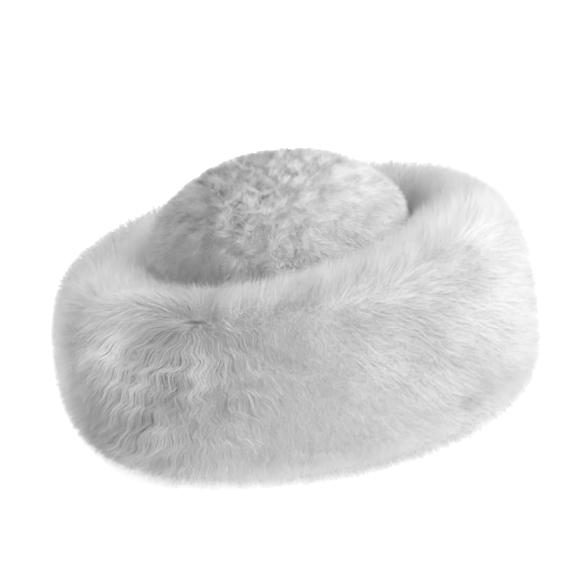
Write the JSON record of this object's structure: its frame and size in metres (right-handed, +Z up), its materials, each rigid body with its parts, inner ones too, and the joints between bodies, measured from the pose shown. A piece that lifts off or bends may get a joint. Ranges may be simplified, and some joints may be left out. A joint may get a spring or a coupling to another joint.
{
  "type": "fur hat",
  "caption": "Round fur hat with a low domed short-fur crown set in a deep, wide cuff of long silky fur, open below for the head, resting on its rim.",
  "frame": {"origin": "middle of the footprint, on the surface the hat rests on", "axes": "+Z up, -Y towards the hat's front, +Y along its long axis to the back"},
  "size_m": [0.3306, 0.3602, 0.163],
  "materials": {
    "crown_fur": "sheared short fur, pale grey, soft and matt",
    "cuff_fur": "long silky fur, pale grey, with a soft sheen"
  },
  "bodies": {
    "root": {"crown": "crown_fur", "fur_cuff": "cuff_fur"}
  },
  "joints": []
}
